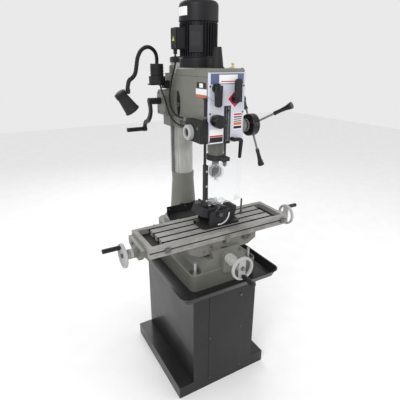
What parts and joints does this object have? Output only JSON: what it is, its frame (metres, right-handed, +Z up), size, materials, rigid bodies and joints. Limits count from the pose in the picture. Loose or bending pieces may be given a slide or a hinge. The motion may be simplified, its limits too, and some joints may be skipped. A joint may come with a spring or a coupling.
{
  "type": "drilling and milling machine",
  "caption": "Geared-head drilling and milling machine on a round column, with a cross table, tilting vise, work lamp and clear guard, standing on a steel cabinet with a chip tray.",
  "frame": {"origin": "centre of the plinth's underside, among the floor anchors", "axes": "+Z up along the column, +X to the operator's right, +Y from the operator to the back"},
  "size_m": [1.193, 0.92, 2.015],
  "materials": {
    "cast_paint": "satin grey paint over casting",
    "motor_paint": "satin charcoal paint",
    "sheet_black": "semi-gloss black paint",
    "ground_iron": "ground and scraped",
    "bright_steel": "turned or ground",
    "bolt_steel": "plated",
    "wheel_metal": "polished casting",
    "panel_silver": "satin printed sheet",
    "black_plastic": "moulded, polished",
    "box_black": "moulded, grained",
    "lead_rubber": "smooth jacket",
    "shield_clear": "clear sheet",
    "button_red": "moulded",
    "vise_paint": "dark satin paint"
  },
  "bodies": {
    "stand": {"plinth": "sheet_black", "cabinet": "sheet_black", "cabinet_panel": "sheet_black", "chip_tray": "sheet_black", "base_casting": "cast_paint", "base_bolts": "bolt_steel", "column_foot": "cast_paint", "column_tube": "bright_steel", "column_cap": "black_plastic", "way_cover": "sheet_black"},
    "rack_carrier": {"column_rack": "bright_steel"},
    "head": {"head_casting": "cast_paint", "head_lid": "cast_paint", "head_bolts": "bolt_steel", "lift_gearbox": "cast_paint", "motor_body": "motor_paint", "fan_cowl": "motor_paint", "terminal_box": "motor_paint", "drawbar_cover": "box_black", "front_panel": "panel_silver", "guard_switch_box": "box_black", "head_leads": "lead_rubber", "lamp_stand": "box_black"},
    "lamp_head": {"lamp_shade": "box_black"},
    "crank": {"lift_crank": "vise_paint", "crank_grip": "black_plastic"},
    "pinion_shaft": {"lift_pinion": "bright_steel"},
    "rotor": {"motor_rotor": "bright_steel"},
    "lay_gears": {"layshaft": "bright_steel"},
    "sleeve": {"drive_sleeve": "bright_steel"},
    "quill_slide": {"quill": "bright_steel", "quill_bearings": "bright_steel", "depth_stop": "bolt_steel"},
    "spindle_set": {"spindle": "bright_steel", "drill_chuck": "bright_steel"},
    "feed": {"feed_hub": "black_plastic", "feed_spokes": "bright_steel", "feed_grips": "black_plastic"},
    "fine_knob": {"fine_feed": "black_plastic"},
    "lever_left": {"speed_lever_left": "black_plastic"},
    "lever_right": {"speed_lever_right": "black_plastic"},
    "button": {"stop_button": "button_red"},
    "lock_arm": {"quill_lock": "black_plastic"},
    "guard": {"guard_post": "bright_steel", "guard_shield": "shield_clear"},
    "saddle_slide": {"saddle": "cast_paint"},
    "gib_lock": {"table_lock": "bolt_steel"},
    "table_slide": {"table": "ground_iron", "table_brackets": "cast_paint", "table_fittings": "bolt_steel", "vise_base": "vise_paint"},
    "table_feed": {"table_screw": "bright_steel", "table_wheels": "wheel_metal", "table_grips": "wheel_metal"},
    "cross_feed": {"cross_screw": "bright_steel", "cross_wheel": "wheel_metal", "cross_grip": "wheel_metal"},
    "vise_tilting": {"vise_body": "vise_paint"},
    "vise_sliding": {"vise_jaw": "vise_paint"},
    "vise_turning": {"vise_screw": "bolt_steel"}
  },
  "joints": [
    {"name": "head_swivel", "type": "hinge", "parent": "stand", "child": "rack_carrier", "pos_m": [0, 0.184, 0], "axis": [0, 0, 1], "range_deg": [-90, 90]},
    {"name": "head_lift", "type": "slide", "parent": "rack_carrier", "child": "head", "axis": [0, 0, 1], "range_m": [-0.081, 0.041]},
    {"name": "crank_turn", "type": "hinge", "parent": "head", "child": "crank", "pos_m": [-0.14, 0.165, 1.563], "axis": [1, 0, 0], "range_deg": [-3868, 1958]},
    {"name": "lift_pinion_turn", "type": "hinge", "parent": "head", "child": "pinion_shaft", "pos_m": [-0.092, 0.184, 1.5265], "axis": [0, 1, 0], "range_deg": [-195, 100]},
    {"name": "motor_spin", "type": "hinge", "parent": "head", "child": "rotor", "pos_m": [0, 0, 1.8], "axis": [0, 0, 1], "continuous": true},
    {"name": "layshaft_spin", "type": "hinge", "parent": "head", "child": "lay_gears", "pos_m": [0, -0.085, 1.6], "axis": [0, 0, 1], "continuous": true},
    {"name": "sleeve_spin", "type": "hinge", "parent": "head", "child": "sleeve", "pos_m": [0, -0.1725, 1.68], "axis": [0, 0, 1], "continuous": true},
    {"name": "quill_feed", "type": "slide", "parent": "head", "child": "quill_slide", "axis": [0, 0, -1], "range_m": [0, 0.13], "stiffness_N_per_m": 300, "springref_m": -0.55},
    {"name": "spindle_spin", "type": "hinge", "parent": "quill_slide", "child": "spindle_set", "pos_m": [0, -0.1725, 1.4], "axis": [0, 0, 1], "continuous": true},
    {"name": "feed_turn", "type": "hinge", "parent": "head", "child": "feed", "pos_m": [0.1, -0.222, 1.47], "axis": [1, 0, 0], "range_deg": [-470, 1]},
    {"name": "fine_feed_turn", "type": "hinge", "parent": "head", "child": "fine_knob", "pos_m": [-0.065, -0.27, 1.5105], "axis": [0, 1, 0], "continuous": true},
    {"name": "range_lever_turn", "type": "hinge", "parent": "head", "child": "lever_left", "pos_m": [-0.06, -0.27, 1.648], "axis": [0, 1, 0], "range_deg": [-45, 45]},
    {"name": "speed_lever_turn", "type": "hinge", "parent": "head", "child": "lever_right", "pos_m": [0.043, -0.27, 1.6], "axis": [0, 1, 0], "range_deg": [-45, 45]},
    {"name": "stop_button_push", "type": "slide", "parent": "head", "child": "button", "axis": [1, 0, 0], "range_m": [0, 0.004], "stiffness_N_per_m": 400, "springref_m": -0.004},
    {"name": "quill_lock_turn", "type": "hinge", "parent": "head", "child": "lock_arm", "pos_m": [0.033, -0.27, 1.42], "axis": [0, 1, 0], "range_deg": [-15, 40]},
    {"name": "guard_swing", "type": "hinge", "parent": "head", "child": "guard", "pos_m": [-0.108, -0.252, 1.45], "axis": [0, 0, 1], "range_deg": [-120, 0]},
    {"name": "lamp_tilt", "type": "hinge", "parent": "head", "child": "lamp_head", "pos_m": [-0.379, -0.035, 1.628], "axis": [0, 1, 0], "range_deg": [-30, 25]},
    {"name": "cross_screw_turn", "type": "hinge", "parent": "stand", "child": "cross_feed", "pos_m": [0, -0.4, 0.825], "axis": [0, -1, 0], "range_deg": [-4004, 7273]},
    {"name": "saddle_travel", "type": "slide", "parent": "stand", "child": "saddle_slide", "axis": [0, -1, 0], "range_m": [-0.0556, 0.101]},
    {"name": "table_travel", "type": "slide", "parent": "saddle_slide", "child": "table_slide", "axis": [1, 0, 0], "range_m": [-0.201, 0.201]},
    {"name": "table_screw_turn", "type": "hinge", "parent": "table_slide", "child": "table_feed", "pos_m": [0, -0.161, 0.898], "axis": [1, 0, 0], "range_deg": [-14473, 14473]},
    {"name": "table_lock_turn", "type": "hinge", "parent": "saddle_slide", "child": "gib_lock", "pos_m": [0.118, -0.273, 0.893], "axis": [0, 1, 0], "range_deg": [0, 30]},
    {"name": "vise_tilt", "type": "hinge", "parent": "table_slide", "child": "vise_tilting", "pos_m": [0, -0.165, 1.03], "axis": [0, 1, 0], "range_deg": [-24, 2]},
    {"name": "vise_screw_turn", "type": "hinge", "parent": "vise_sliding", "child": "vise_turning", "pos_m": [-0.09276, -0.165, 1.0921], "axis": [0.9135, 0, -0.4067], "range_deg": [-730, 1360]},
    {"name": "vise_jaw_travel", "type": "slide", "parent": "vise_tilting", "child": "vise_sliding", "axis": [0.9135, 0, -0.4067], "range_m": [-0.0081, 0.0151]}
  ],
  "couplings": [
    {"joint": "crank_turn", "follows": "head_lift", "rad_per_m": 833.33},
    {"joint": "lift_pinion_turn", "follows": "head_lift", "rad_per_m": 41.667},
    {"joint": "layshaft_spin", "follows": "motor_spin", "ratio": -0.41667},
    {"joint": "sleeve_spin", "follows": "motor_spin", "ratio": 0.14423},
    {"joint": "spindle_spin", "follows": "motor_spin", "ratio": 0.14423},
    {"joint": "feed_turn", "follows": "quill_feed", "rad_per_m": -62.5},
    {"joint": "cross_screw_turn", "follows": "saddle_travel", "rad_per_m": 1256.6},
    {"joint": "table_screw_turn", "follows": "table_travel", "rad_per_m": 1256.6},
    {"joint": "vise_screw_turn", "follows": "vise_jaw_travel", "rad_per_m": 1570.8}
  ]
}
